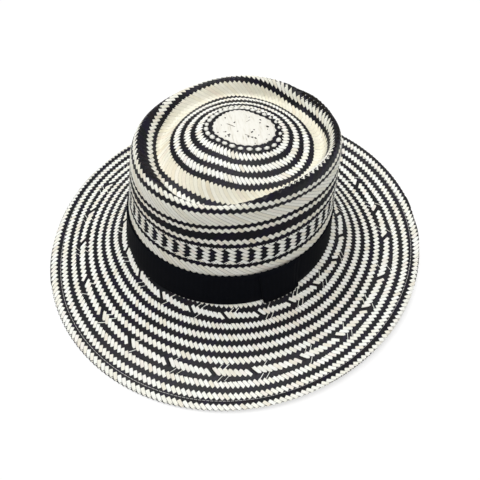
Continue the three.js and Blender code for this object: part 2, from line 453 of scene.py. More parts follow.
def repeated(mesh, count):
    # the mesh of one strip, as many times as there are floats
    piece = linked("strip", mesh)
    array = piece.modifiers.new("repeat", "ARRAY")
    array.use_relative_offset = False
    array.count = count
    graph = bpy.context.evaluated_depsgraph_get()
    mesh = bpy.data.meshes.new_from_object(piece.evaluated_get(graph))
    bpy.data.objects.remove(piece)
    return mesh


def meshCorners(mesh):
    corner = np.empty(len(mesh.vertices) * 3)
    mesh.vertices.foreach_get("co", corner)
    return corner.reshape(-1, 3)


def setCorners(mesh, points):
    # points in millimetres
    mesh.vertices.foreach_set("co", (points.reshape(-1) * mm).astype(np.float32))


def setAttribute(mesh, name, values):
    kind, key = ("FLOAT_VECTOR", "vector") if values.ndim == 2 else ("FLOAT", "value")
    made = mesh.attributes.new(name, kind, "POINT")
    made.data.foreach_set(key, values.reshape(-1).astype(np.float32))


def floatMesh(surface, part, inside, depth):
    # one part of a float list as a mesh laid on the surface
    s = {**floatShape, **floatShape["cream" if part["cream"] else "dark"]}
    number, count = len(part["row"]), part["count"]
    alongCount = 3 + max(1, min(s["mostStations"], round(count / 2)))
    lines = len(s["strands"])
    template = gridMesh("strip", alongCount, lines - 1)
    corner = meshCorners(template)
    # the grid's columns become stations along the float, its rows across it
    column = np.rint((corner[:, 0] + 0.5) * alongCount).astype(int)
    line = np.rint((corner[:, 1] + 0.5) * (lines - 1)).astype(int)
    first, last = s["shoulder"] - 0.5, count - 0.5 - s["shoulder"]
    stations = np.concatenate(
        [[-0.5 - s["tuck"]], np.linspace(first, last, alongCount - 1), [count - 0.5 + s["tuck"]]]
    )
    ends = np.isin(column, (0, alongCount))
    edges = np.isin(line, (0, lines - 1))
    u0, v0 = stations[column], np.array(s["strands"])[line] * s["width"]
    middle = (count - 1) / 2
    inner = np.clip((middle - u0) / (middle + 0.5), 0, 1)
    u = u0 - inner * part["grow"][:, None]
    v = v0 * np.where(ends, s["endWidth"], 1) * part["width"][:, None]
    row = part["row"][:, None] - u - v
    turn = part["turn"][:, None] + part["way"] * (u - v) * 0.5 / part["strands"]
    lift = s["lift"] - s["fall"] - s["endFall"] * ends - s["edgeFall"] * edges
    jitter = (part["tone"][:, 2:3] - 0.5) * s["jitter"]
    lift = lift + part["lift"][:, None] + jitter
    if inside:
        lift = -depth - lift
    points = surface.place(row, turn, lift)
    mesh = repeated(template, number)
    setCorners(mesh, points)
    each = len(corner)
    looks = dict(warm=part["warm"], glaze=0.0 if part["cream"] else part["glaze"])
    for name, value in {**looks, "dark": float(not part["cream"])}.items():
        setAttribute(mesh, name, np.full(number * each, value))
    tones = np.repeat(part["tone"], each, axis=0)
    setAttribute(mesh, "tone", tones[:, 0])
    # along the straw, across it, and from its middle line to its edges
    flow = [np.tile(way * length, number) for way, length in zip((u0, v0), s["crossing"])]
    flow = [at + tones[:, i] * s["grainShift"][i] for i, at in enumerate(flow)]
    setAttribute(mesh, "flow", np.stack([*flow, np.tile(v0, number)], -1))
    # a strip laid the other way round, or on the inside, faces backwards
    if (part["way"] > 0) == inside:
        mesh.flip_normals()
    return mesh


def weave(name, surface, floats, inside=False, depth=0.0):
    # lays every float of the list on the surface, as one mesh piece
    shape = bmesh.new()
    for part in floats.parts:
        mesh = floatMesh(surface, part, inside, depth)
        shape.from_mesh(mesh)
        bpy.data.meshes.remove(mesh)
    whole = meshFrom(name, shape)
    whole.shade_smooth()
    whole.set_sharp_from_angle(angle=math.radians(floatShape["sharp"]))
    number = sum(len(part["row"]) for part in floats.parts)
    print(name, "floats", number, "triangles", 2 * len(whole.polygons))
    return linked(name, whole)


def band(floats, firstRow, lastRow, strands, cream, phase=0.0, **extra):
    # a band of one colour: a ring of floats side by side, covering its rows;
    # firstRow is its outermost row on the brim, its lowest on the crown
    count = lastRow - firstRow + 1
    turn = (np.arange(strands) + (lastRow % 2) / 2 + phase) / strands
    floats.add(np.full(strands, lastRow), turn, count, strands, cream, **extra)


brimBands = dict(
    bandRows=2,  # dark and cream bands take turns; rows 0 and 1 are dark
    # up to which row, counted inwards, how many straws
    strands=[(7, 234), (9, 211), (27, 188), (29, 169), (31, 150), (99, 142)],
    # where straws were added, the cream band is cut into short parts, before
    # these straws
    cuts={
        10: (-65, -57, -49, -40, -32, -24, -16, -8, -1, 8, 16, 24, 32, 42, 49, 57)
            + (65, 74, 82, 90, 98, 106, 115),
        30: (-55, -48, -41, -33, -26, -19, -12, -5, 2, 9, 16, 24, 31, 37)
            + (44, 52, 59, 66, 73, 80, 87),
    },
    gaps={10: 0.5, 30: 0.35},  # in a cut
    slant=0.8,  # how far outwards a part's row runs from its first straw to its last
    reach=0.15,  # how much longer its first straw is
    partLift=0.06,  # of its first straw
    # the dark straw that shows in each cut: how far it is set back, its width as
    # a share of the gap, and how much longer it is
    cutStraw=(0.1, 0.8, 0.4),
    slivers=[2.1, 3.2],  # straws after a cut, where cream shows between dark ones
    sliverShare=0.7,  # of the cuts that have one
    sliverWidths=(0.096, 0.224),
    sliverLift=0.1,
    firstRow=-8,  # of the outermost band
)


def cutBand(floats, outer, strands):
    s = brimBands
    cuts, gap = s["cuts"][outer], s["gaps"][outer]
    lastRow = outer + s["bandRows"] - 1
    for start, end in zip(cuts, cuts[1:] + (cuts[0] + strands,)):
        number = end - start
        place = np.arange(number)
        step = (number - gap) / number
        turn = (end - (number - place - 0.5) * step) / strands
        share = place / (number - 1)
        row = lastRow + s["slant"] * (0.5 - share)
        grow = s["reach"] * (1 - share)
        lift = s["partLift"] * (1 - share)
        floats.add(row, turn, s["bandRows"], strands, True, grow=grow, lift=lift, width=step)
    setBack, share, grow = s["cutStraw"]
    turn = (np.array(cuts) + gap / 2 - setBack) / strands
    row = np.full(len(turn), float(lastRow))
    floats.add(row, turn, s["bandRows"], strands, False, way=1, width=gap * share, grow=grow)


def slivers(floats, outer, strands, cuts, cutStrands):
    # thin cream slivers between the dark straws just after a cut
    s = brimBands
    cuts = np.array(cuts, float)
    narrow, wide = s["sliverWidths"]
    for after in s["slivers"]:
        shown = floats.random.random(len(cuts)) < s["sliverShare"]
        turn = (cuts[shown] + after) / cutStrands
        row = np.full(len(turn), outer + s["bandRows"] - 1.0)
        width = narrow + (wide - narrow) * floats.random.random(len(turn))
        lift = s["sliverLift"]
        floats.add(row, turn, s["bandRows"], strands, True, way=-1, width=width, lift=lift)


def brimFloats(seed, swapped=False):
    s = brimBands
    floats = FloatList(seed)
    size = s["bandRows"]

    def strandsAt(outer):
        return next(number for limit, number in s["strands"] if outer <= limit)

    for outer in range(s["firstRow"], brimWeave["rows"][1] - size, size):
        dark = (outer // size) % 2 == 0
        strands = strandsAt(outer)
        if outer in s["cuts"] and not swapped:
            cutBand(floats, outer, strands)
            continue
        band(floats, outer, outer + size - 1, strands, cream=dark == swapped)
        for other in (outer - size, outer + size):
            if other in s["cuts"] and not swapped:
                slivers(floats, outer, strands, s["cuts"][other], strandsAt(other))
    return floats


def trimmed(floats, lowest, highest):
    # drops the floats whose middle lies outside the rows given for its angle
    count = len(lowest)
    start = (count * 3) // 4
    low, high = np.roll(lowest, -start), np.roll(highest, -start)
    for part in floats.parts:
        middle = part["row"] - (part["count"] - 1) / 2
        at = (part["turn"] % 1.0 * count).astype(int) % count
        keep = (middle > low[at]) & (middle < high[at])
        for key in perFloat:
            part[key] = part[key][keep]
    floats.parts = [part for part in floats.parts if len(part["row"])]
    return floats


# the crown's bands from the ribbon up: first and last row, colour, and straws
# where they aren't as many as in the wall
crownBands = dict(
    straws=104,
    rows=[
        ("hidden", -2, -1, "dark"),
        ("foot", 0, 4, "cream"),
        ("line", 5, 6, "dark"),
        ("panel", 7, 15, "both"),
        ("line", 16, 17, "dark"),
        ("beads", 18, 19, "cream"),
        ("band", 20, 23, "dark"),
        ("beads", 24, 25, "cream"),
        ("line", 26, 27, "dark"),
        ("plain", 28, 34, "cream"),
        ("line", 35, 36, "dark"),
        ("beads", 37, 38, "cream"),
        ("rim", 39, 42, "dark"),
        ("beads", 43, 44, "cream"),
        ("line", 45, 46, "dark"),
        ("dent", 47, 53, "cream", 102),
        ("ring", 54, 55, "dark", 100),
        ("ring", 56, 57, "cream", 92),
        ("ring", 58, 59, "dark", 84),
        ("ring", 60, 61, "cream", 76),
        ("ring", 62, 63, "dark", 66),
        ("ring", 64, 65, "cream", 62),
        ("loops", 66, 67, "dark", 62),
        ("loops", 68, 68, "dark", 62),
    ],
    hidden=("cream", "dark"),  # the rings behind the ribbon, in turns
    hiddenFrom=-16,
    phase=0.78,  # how far the panel is turned, in straws
    warm=dict(dent=1.0, ring=0.0, other=0.4),  # how much painted warm shade darkens the cream
    width=dict(dent=1.03, other=1.0),  # of the straws
    glazedFrom=35,  # the dyed straws of the wall are duller than those from this row on
)


# dark spindles two straws apart, joined above and below by a thin link
panelChart = dict(
    rows=9,
    spindle=(1, 7),  # its rows
    creamHalves=(1, 2),  # between spindles, of the four half-steps that repeat
    linkRows=(-0.3, 8.3),
    link=dict(width=0.25, lift=0.12),
    linkBack=0.25,  # how far a link is set back, in straws
)


def panelFloats(floats, firstRow, strands, swapped):
    s = panelChart
    pairs = strands // 2
    low, high = s["spindle"]
    chart = {}
    for row in range(s["rows"]):
        # crossings lie where the row and the half-step are both even or odd
        for half in range(row % 2, 4, 2):
            spindle = low <= row <= high and half not in s["creamHalves"]
            chart[row, half] = spindle == swapped

    def add(row, half, count, cream, **extra):
        turn = (np.arange(pairs) * 2 + half / 2 + crownBands["phase"]) / strands
        floats.add(np.full(pairs, firstRow + row), turn, count, strands, cream, glaze=0.0, **extra)

    # crossings of one colour in a line along a straw make one float
    for colour in (True, False):
        way = 1 if colour else -1
        done = set()
        for (row, half), cream in sorted(chart.items(), key=lambda item: -item[0][0]):
            if cream != colour or (row, half) in done:
                continue
            run = [(row, half)]
            while chart.get((run[-1][0] - 1, (run[-1][1] + way) % 4)) == colour:
                run.append((run[-1][0] - 1, (run[-1][1] + way) % 4))
            done.update(run)
            add(row, half, len(run), colour)
    if not swapped:
        for row in s["linkRows"]:
            add(row, -2 * s["linkBack"], 1, False, **s["link"])


def crownFloats(seed, swapped=False):
    s = crownBands
    floats = FloatList(seed)
    rows = list(s["rows"])
    if swapped:
        # inside, the rows behind the ribbon show too
        for first in range(s["hiddenFrom"], rows[0][1], 2):
            rows.append(("hidden", first, first + 1, s["hidden"][first // 2 % 2]))
    for name, first, last, colour, *fewer in rows:
        strands = fewer[0] if fewer else s["straws"]
        if name == "panel":
            panelFloats(floats, first, strands, swapped)
            continue
        warm, width = [s[look].get(name, s[look]["other"]) for look in ("warm", "width")]
        phase = 0 if fewer else s["phase"]
        looks = dict(warm=warm, width=width, glaze=float(first >= s["glazedFrom"]))
        band(floats, first, last, strands, (colour == "cream") != swapped, phase, **looks)
    return floats


class Socket:
    # a shader value; Python's operators add Math nodes to its tree
    def __init__(self, tree, output):
        self.tree, self.output = tree, output

    def math(self, operation, *values, clamp=False):
        node = self.tree.nodes.new("ShaderNodeMath")
        node.operation, node.use_clamp = operation, clamp
        for target, value in zip(node.inputs, values):
            setInput(self.tree, target, value)
        return Socket(self.tree, node.outputs[0])

    def __add__(self, other):
        return self.math("ADD", self, other)

    def __radd__(self, other):
        return self.math("ADD", other, self)

    def __sub__(self, other):
        return self.math("SUBTRACT", self, other)

    def __rsub__(self, other):
        return self.math("SUBTRACT", other, self)

    def __mul__(self, other):
        return self.math("MULTIPLY", self, other)

    def __rmul__(self, other):
        return self.math("MULTIPLY", other, self)

    def __pow__(self, other):
        return self.math("POWER", self, other)

    def stretched(self, start, slope):
        # nothing up to the start, then rising to one
        return self.math("MULTIPLY", self - start, slope, clamp=True)


def setInput(tree, target, value):
    if isinstance(value, Socket):
        tree.links.new(value.output, target)
    elif isinstance(value, (tuple, list)) and len(value) == 3 and target.type == "RGBA":
        target.default_value = (*value, 1)
    else:
        target.default_value = value


class Material:
    def __init__(self, name):
        self.material = bpy.data.materials.new(name)
        self.material.use_nodes = True
        self.tree = self.material.node_tree
        self.shader = self.tree.nodes["Principled BSDF"]

    def node(self, kind, settings=None, output=0, **inputs):
        # a node by its type, its settings, and values or links for its sockets:
        # by name, or by place as i and a number; several outputs come as a list
        made = self.tree.nodes.new("ShaderNode" + kind)
        for key, value in (settings or {}).items():
            if key == "stops":
                ramp = made.color_ramp
                while len(ramp.elements) < len(value):
                    ramp.elements.new(0.5)
                for element, (place, colour) in zip(ramp.elements, value):
                    element.position = place
                    element.color = (*colour, 1)
            else:
                setattr(made, key, value)
        for key, value in inputs.items():
            byPlace = key[0] == "i" and key[1:].isdigit()
            setInput(self.tree, made.inputs[int(key[1:]) if byPlace else key], value)
        if isinstance(output, tuple):
            return [Socket(self.tree, made.outputs[one]) for one in output]
        return Socket(self.tree, made.outputs[output])

    def attribute(self, name, output="Fac"):
        return self.node("Attribute", {"attribute_name": name}, output)

    def noise(self, place, scale=1.0, **inputs):
        return self.node("TexNoise", {}, "Fac", Vector=place, Scale=scale, **inputs)

    def ramp(self, stops, place):
        return self.node("ValToRGB", {"stops": stops}, "Color", Fac=place)

    def mix(self, share, first, second, blend="MIX"):
        settings = {"data_type": "RGBA", "blend_type": blend}
        return self.node("Mix", settings, 2, i0=share, i6=first, i7=second)

    def bump(self, strength, depth, height):
        return self.node("Bump", {}, 0, Strength=strength, Distance=depth, Height=height)

    def feed(self, colour, roughness, specular=0.5, **others):
        named = {"Base Color": colour, "Roughness": roughness, "Specular IOR Level": specular}
        for key, value in {**named, **others}.items():
            setInput(self.tree, self.shader.inputs[key], value)
        return self.material


strawLook = dict(
    creams=[
        (0.0, (0.82, 0.78, 0.67)),
        (0.12, (0.88, 0.87, 0.78)),
        (0.5, (0.90, 0.91, 0.85)),
        (0.85, (0.93, 0.94, 0.90)),
        (1.0, (0.86, 0.82, 0.75)),
    ],
    darks=[
        (0.25, (0.007, 0.005, 0.018)),
        (0.42, (0.008, 0.007, 0.012)),
        (0.55, (0.005, 0.007, 0.009)),
        (0.75, (0.011, 0.007, 0.011)),
    ],
    blush=(0.86, 0.70, 0.63),  # of the straw in a few wide patches
    blushFrom=(0.52, 6.0),  # where in the patches it starts, and how fast
    blushShare=0.11,
    warm=(0.915, 0.88, 0.79),  # painted warm shade: the tint multiplied into the cream of the shaded bands
    specular=0.1,
    glaze=0.3,  # on the dyed straws
    glazeRoughness=0.45,
    paintedEdgeShade=0.42,  # painted shade along a straw's two edges, where neighbouring floats meet
    paintedEdgeShadeEase=0.25,  # how much less painted edge shade in the bands with painted warm shade
    paintedEdgeShadePower=5.0,
    grain=(0.35, 6.0),  # how fine it is along a straw and across it
    spots=(0.22, 0.5, 3.0),
    patches=26.0,  # how fine they are, per metre
    shade=(0.80, 0.22, 0.16),  # plain straw, and what grain and spots add
    roughness=(0.55, 0.15),  # plain straw, and what grain adds
    bump=(0.4, 0.00012),  # its strength, and its depth in metres
)


def strawMaterial(name, look):
    m = Material(name)
    flow = m.attribute("flow", "Vector")
    along, across, edge = m.node("SeparateXYZ", {}, (0, 1, 2), Vector=flow)
    tone, kind, warm = [m.attribute(key) for key in ("tone", "dark", "warm")]
    fineAlong, fineAcross = look["grain"]
    grain = m.node("CombineXYZ", X=along * fineAlong, Y=across * fineAcross, Z=0.0)
    grain = m.noise(grain, Detail=3.0, Roughness=0.6)
    wideAlong, wideAcross, layer = look["spots"]
    spots = m.node("CombineXYZ", X=along * wideAlong, Y=across * wideAcross, Z=layer)
    spots = m.noise(spots, Detail=1.0)
    patches = m.noise(m.node("TexCoord", {}, "Object"), look["patches"], Detail=2.0)
    blush = patches.stretched(*look["blushFrom"]) * look["blushShare"]
    cream = m.mix(blush, m.ramp(look["creams"], tone), look["blush"])
    # painted shade: the wall's and dent's cream is multiplied by a darker, warmer tint for their
    # shade and warm bounce light
    cream = m.mix(warm, cream, look["warm"], "MULTIPLY")
    dark = m.ramp(look["darks"], tone * 0.5 + patches * 0.5)
    plain, grainShade, spotShade = look["shade"]
    # painted shade: each straw darkens towards its two edges, for the shadow line between
    # neighbouring floats
    paintedEdgeShade = (edge * edge * 4.0) ** look["paintedEdgeShadePower"] * (1.0 - look["paintedEdgeShadeEase"] * warm)
    shade = plain + grain * grainShade + spots * spotShade - paintedEdgeShade * look["paintedEdgeShade"]
    shade = m.node("CombineColor", {}, 0, Red=shade, Green=shade, Blue=shade)
    plain, grainRoughness = look["roughness"]
    return m.feed(
        m.mix(1.0, m.mix(kind, cream, dark), shade, "MULTIPLY"),
        plain + grain * grainRoughness,
        look["specular"],
        Normal=m.bump(*look["bump"], grain),
        **{"Coat Weight": m.attribute("glaze") * look["glaze"]},
        **{"Coat Roughness": look["glazeRoughness"]},
    )


buttonLook = dict(
    colours=[
        (0.0, (0.44, 0.41, 0.34)),
        (0.3, (0.72, 0.70, 0.62)),
        (1.0, (0.82, 0.81, 0.75)),
    ],
    finest=(700.0, 110.0, 90.0),  # the straws' lines, across and along them
    ways=(0.6, -0.75),  # in which the straws run, in radians
    streaks=(0.27, 5.0),  # where in the lines they start, and how fast
    patches=70.0,
    shade=(0.7, 0.35),  # what streaks and patches add
    roughness=0.55,
    bump=(0.5, 0.0002),
)


def buttonMaterial(name, look):
    # very fine straws that run in two ways across the tip's middle
    m = Material(name)
    place = m.node("TexCoord", {}, "Object")
    lines = []
    for way in look["ways"]:
        turned = m.node("Mapping", {}, 0, Vector=place, Rotation=(0, 0, way), Scale=look["finest"])
        lines.append(m.noise(turned, Detail=2.0))
    patches = m.noise(place, look["patches"], Detail=1.0)
    streak = m.node("Math", {"operation": "MINIMUM"}, 0, i0=lines[0], i1=lines[1])
    streakShade, patchShade = look["shade"]
    shade = streak.stretched(*look["streaks"]) * streakShade + patches * patchShade
    bump = m.bump(*look["bump"], streak)
    return m.feed(m.ramp(look["colours"], shade), look["roughness"], Normal=bump)


ribbonLook = dict(
    colour=(0.0022, 0.0028, 0.0050),
    roughness=0.75,
    specular=0.05,
    ribs=75.0,  # how fine the wave is that draws its upright ribs
    patches=40.0,
    shade=(0.8, 0.2, 0.4),  # plain cloth, and what ribs and patches add
    bump=(0.6, 0.00008),
)


def ribbonMaterial(name, look):
    m = Material(name)
    uv = m.node("UVMap", {"uv_map": "cloth"})
    wave = {"wave_type": "BANDS", "bands_direction": "X", "wave_profile": "SIN"}
    ribs = m.node("TexWave", wave, "Fac", Vector=uv, Scale=look["ribs"])
    patches = m.noise(uv, look["patches"], Detail=2.0)
    plain, ribShade, patchShade = look["shade"]
    tone = plain + ribs * ribShade + patches * patchShade
    red, green, blue = [tone * part for part in look["colour"]]
    colour = m.node("CombineColor", {}, 0, Red=red, Green=green, Blue=blue)
    bump = m.bump(*look["bump"], ribs)
    return m.feed(colour, look["roughness"], look["specular"], Normal=bump)


def plainMaterial(name, colour, roughness, specular):
    return Material(name).feed(colour, roughness, specular)


brimTable = brimSurface()
crownTable = crownSurface()
print("surfaces ready")


def finished(piece, material, replaced=None):
    piece.data.materials.clear()
    piece.data.materials.append(material)
    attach(piece, "root")
    if replaced:
        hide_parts(replaced)


weldWithin = 2e-6  # metres, where a sheet closes


def gridPiece(name, across, along, points, closed=True):
    # a sheet of faces through points: (across + 1) x (along + 1) x 3, in mm
    mesh = gridMesh(name, along, across)
    corner = meshCorners(mesh)
    i = np.rint((corner[:, 1] + 0.5) * across).astype(int)
    j = np.rint((corner[:, 0] + 0.5) * along).astype(int)
    setCorners(mesh, points[i, j])
    uv = mesh.uv_layers.new(name="cloth")
    loops = np.empty(len(mesh.loops), int)
    mesh.loops.foreach_get("vertex_index", loops)
    length = lengthAlong(points[across // 2])
    width = lengthAlong(points[:, 0])
    flat = np.stack([length[j[loops]], width[i[loops]]], -1) * mm
    uv.data.foreach_set("uv", flat.reshape(-1).astype(np.float32))
    if closed:
        shape = bmesh.new()
        shape.from_mesh(mesh)
        bmesh.ops.remove_doubles(shape, verts=shape.verts, dist=weldWithin)
        shape.to_mesh(mesh)
        shape.free()
    mesh.shade_smooth()
    return linked(name, mesh)


# plain skins under the weave, painted near-black as the shade seen in its gaps: their first and last
# rows
skins = dict(depth=0.5, columns=180, brim=(-9, 37), crown=(-15, 74))


def skin(name, surface, firstRow, lastRow):
    s = skins
    turns = np.linspace(0, 1, s["columns"] + 1)
    turn, row = np.meshgrid(turns, np.arange(firstRow, lastRow + 1.0))
    points = surface.place(row, turn, np.full(row.shape, -s["depth"]))
    return gridPiece(name, len(row) - 1, s["columns"], points)


straw = strawMaterial("straw", strawLook)
# painted shade: near-black skins stand in for the shadow seen through the gaps between floats
gapShade = plainMaterial("shaded_straw", (0.012, 0.010, 0.008), 0.9, 0.2)

floats = trimmed(brimFloats(1), *brimTable.rowLimits)
finished(weave("brim_weave_top", brimTable, floats), straw, "brim")
finished(skin("brim_gap_shade", brimTable, *skins["brim"]), gapShade)
floats = crownFloats(2)
finished(weave("crown_weave_outside", crownTable, floats), straw, "crown")
finished(skin("crown_gap_shade", crownTable, *skins["crown"]), gapShade)

# the undersides, where each straw that is hidden above lies on top
depth = brimWeave["underDepth"]
hemFree, headFree = brimWeave["underFree"]
hemEnd = brimTable.edgeRow + brimShape["hemWidth"] / brimWeave["rowSpacing"]
floats = brimFloats(3, swapped=True)
floats = trimmed(floats, hemEnd - hemFree, brimTable.rowLimits[1] - headFree)
finished(weave("brim_weave_under", brimTable, floats, True, depth), straw)
floats = crownFloats(4, swapped=True)
finished(weave("crown_weave_inside", crownTable, floats, True, depth), straw)
print("weave ready")

# the button in the tip's middle, closely woven
buttonShape = dict(
    rows=(0, 0.15, 0.8, 1.8, 2.8, 3.8, 4.8, 5.6, 6.2, 6.6),  # in from its edge
    middle=75,
    # the row of its edge, at places round the hat in degrees
    edge=[(-180, 68), (-90, 67.9), (-45, 68.3), (-10, 67.2), (20, 67.0), (50, 67.8), (90, 68)],
    lift=0.22,
    edgeLift=-0.3,
    scallop=0.35,  # how far each loop bites into it, in rows
    columns=8,  # to each loop
)

# the ring of straw loops round the button: a cream cell inside each, and its
# dark foot over the outer side of its cell
loopShape = dict(
    number=29,
    first=0.3,
    crowd=0.22,  # how much closer they are at one side
    widest=0.06,  # the turn where they are furthest apart
    endRow=65.5,
    # at: of the way from the button's edge out to the end row; turned: least and
    # by how much more, from pointing along the ring
    cell=dict(
        at=0.46, stray=0.2, size=(5.04, 6.16), turned=(math.pi / 2 - 0.28, 0.4),
        room=2.4,  # rows; in less than this it is smaller
        smallest=0.6,
        lift=0.3, stretch=(1.0, 0.78, 0.18),
    ),
    foot=dict(
        at=0.8, aside=0.05, size=(1.61, 2.99), turned=0.5, lift=0.6, stretch=(1.3, 0.7, 0.3),
    ),
)

# dark flecks on the button; sizes in millimetres
fleckShape = dict(
    number=24,
    rows=(68.9, 74.0),
    size=(0.8, 1.9),
    side=(0.12, 0.25),  # the turn where they are densest, and how far they spread
    largest=(69.2, 0.25, 2.6),  # its row, turn and size
    lift=0.27,
    stretch=(1.25, 0.75, 0.4),
)

# scratches on the button: row, turn, length and direction
scratchShape = dict(
    places=[(72.5, 0.7, 9, -0.65), (72, 0.02, 6, -0.7), (70.5, 0.8, 4, -0.4), (72.3, 0.4, 5, 0.5)],
    lift=0.25,
    stretch=(1, 0.09, 0.04),
)


def loopTurns(places):
    s = loopShape
    even = (places + s["first"]) / s["number"]
    return even + s["crowd"] * np.sin(2 * math.pi * (even - s["widest"])) / (2 * math.pi)


def hatAngle(turn):
    # turns start over the bow's side, angles at the right
    return (turn - 0.25) * 2 * math.pi


def buttonEdge(turn):
    # the row of the button's edge without its scallops
    return atPlaces(buttonShape["edge"], hatAngle(turn))


def button():
    s = buttonShape
    inwards = np.array(s["rows"])
    column = np.arange(s["columns"] * loopShape["number"] + 1)
    turn = loopTurns(column / s["columns"])
    bite = s["scallop"] * (np.abs(np.cos(math.pi * column / s["columns"])) - 0.5)
    edge = buttonEdge(turn) + bite
    share = inwards[:, None] / inwards[-1]
    row = edge + (s["middle"] - edge) * share
    lift = np.where(share > 0, s["lift"], s["edgeLift"]) + 0 * row
    points = crownTable.place(row, np.broadcast_to(turn, row.shape), lift)
    points[-1] = points[-1].mean(axis=0)
    return gridPiece("button", len(inwards) - 1, len(turn) - 1, points)


def dots(name, row, turn, size, spin, s):
    # small flat lens-shaped dots on the tip, each turned by its spin
    shape = bmesh.new()
    places = crownTable.place(row, turn, np.full(len(row), s["lift"]))
    for place, across, angle in zip(places, size, spin):
        corners = bmesh.ops.create_icosphere(shape, subdivisions=1, radius=across * mm / 2)["verts"]
        bmesh.ops.scale(shape, vec=s["stretch"], verts=corners)
        turned = Matrix.Rotation(angle, 3, "Z")
        bmesh.ops.rotate(shape, cent=(0, 0, 0), matrix=turned, verts=corners)
        bmesh.ops.translate(shape, vec=Vector(place) * mm, verts=corners)
    mesh = meshFrom(name, shape)
    mesh.shade_smooth()
    return linked(name, mesh)


def flecks(seed):
    s = fleckShape
    random = np.random.default_rng(seed)
    low, high = s["rows"]
    densest, spread = s["side"]
    # even over the disc
    row = low + (high - low) * (1 - np.sqrt(random.random(s["number"])))
    turn = densest + spread * random.standard_normal(s["number"])
    size = random.uniform(*s["size"], s["number"])
    row, turn, size = [np.append(*both) for both in zip((row, turn, size), s["largest"])]
    return dots("button_flecks", row, turn, size, random.random(len(row)) * math.pi, s)


def scratches():
    return dots("button_scratches", *np.array(scratchShape["places"]).T, scratchShape)


def loopCells(seed):
    s = loopShape["cell"]
    number = loopShape["number"]
    random = np.random.default_rng(seed)
    turn = loopTurns(np.arange(number))
    edge = buttonEdge(turn)
    room = edge - loopShape["endRow"]
    row = edge - s["at"] * room + s["stray"] * (random.random(number) - 0.5)
    low, high = s["size"]
    size = low + (high - low) * random.random(number)
    size = size * np.clip(room / s["room"], s["smallest"], 1)
    least, more = s["turned"]
    spin = hatAngle(turn) + least + more * random.random(number)
    return dots("loop_cells", row, turn, size, spin, s)


def loopFeet(seed):
    s = loopShape["foot"]
    number = loopShape["number"]
    random = np.random.default_rng(seed)
    turn = loopTurns(np.arange(number) + s["aside"])
    edge = buttonEdge(turn)
    row = edge - s["at"] * (edge - loopShape["endRow"])
    low, high = s["size"]
    size = low + (high - low) * random.random(number)
    return dots("loop_notches", row, turn, size, hatAngle(turn) + s["turned"], s)


# plain looks: colour, roughness and specular
plainLooks = dict(
    loop_cream=((0.86, 0.86, 0.80), 0.6, 0.1),
    loop_dark=((0.012, 0.011, 0.014), 0.6, 0.3),
    fleck=((0.015, 0.012, 0.008), 0.8, 0.2),
    scratch=((0.20, 0.17, 0.13), 0.8, 0.2),
)
plain = {name: plainMaterial(name, *look) for name, look in plainLooks.items()}
finished(button(), buttonMaterial("button_straw", buttonLook))
finished(loopCells(6), plain["loop_cream"])
finished(loopFeet(7), plain["loop_dark"])
finished(flecks(5), plain["fleck"])
finished(scratches(), plain["scratch"])

# the thread that holds the brim's folded edge
hemThread = dict(inside=8.6, pitch=3.4, length=3.2, width=0.45, lift=0.24, sink=0.3, faces=(5, 2))


def stitches():
    s = hemThread
    number = int(brimTable.rowLength(-1) / s["pitch"])
    template = gridMesh("stitch", *s["faces"])
    corner = meshCorners(template)
    share = corner[:, 0]  # along the stitch, -0.5 to 0.5
    side = corner[:, 1]
    start = (brimShape["angles"] * 3) // 4
    edgeRow = np.roll(brimTable.edgeRow, -start)
    rise = 1 - (2 * share) ** 4
    turn = (np.arange(number)[:, None] + share[None, :] * s["length"] / s["pitch"]) / number
    places = np.linspace(0, 1, len(edgeRow), endpoint=False)
    row = np.interp(turn % 1.0, places, edgeRow) + s["inside"] / brimWeave["rowSpacing"]
    row = row + side * s["width"] / brimWeave["rowSpacing"]
    bulge = 0.25 * s["width"] * (1 - (2 * side) ** 2)
    lift = s["lift"] - s["sink"] * (1 - rise) + bulge + 0 * turn
    points = brimTable.place(row, turn, lift)
    mesh = repeated(template, number)
    setCorners(mesh, points)
    mesh.shade_smooth()
    return linked("hem_thread", mesh)


finished(stitches(), plainMaterial("thread", (0.42, 0.41, 0.40), 0.7, 0.3))

# the ribbon; its places are off the crown's wall, and heights over the brim
ribbonShape = dict(
    low=-0.4, high=31.4, inside=0.55, outside=1.45,
    sway=0.25,  # of its edges
    loose=0.12,  # how far it stands off in places
    columns=240,
    # round the cloth's cut, up and out: outside upwards, over the top, inside down
    cut=[
        (0, 0.5), (0, 0.9), (0.012, 1), (0.25, 1), (0.5, 1), (0.75, 1), (0.988, 1),
        (1, 0.9), (1, 0.5), (1, 0), (0.5, 0), (0, 0), (0, 0.5),
    ],
)

# the flat folded tab over the ribbon's joint
tabShape = dict(
    left=-80.8, right=-61.8, step=-60.6,  # degrees round the hat, at the lower edge
    lean=-3.6,  # by which the left end leans out at the upper edge
    low=-1.7, high=32.4, rows=7,
    cloth=0.7,  # its thickness; the tab is two layers of it
    upperLower=0.6,  # by which the upper layer hangs lower
    inside=1.55,
    belly=0.35,
    flare=0.25,  # of its lower edge
    brim=(1.2, 1.35),  # where the brim pushes it out, and how fast
)


def wallPoints(angle, height, outside):
    # points off the crown's wall, at heights over the brim
    wall = np.array(crownShape["wall"], float)[::-1]
    at = np.clip(height, 0, None)
    section = [np.interp(at, wall[:, 0], wall[:, i]) for i in range(1, 5)]
    halfLong, halfWide, x, y = section
    return np.stack(
        [
            head["centre"][0] + x + (halfLong + outside) * np.cos(angle),
            head["centre"][1] + y + (halfWide + outside) * np.sin(angle),
            head["height"] + height,
        ],
        -1,
    )


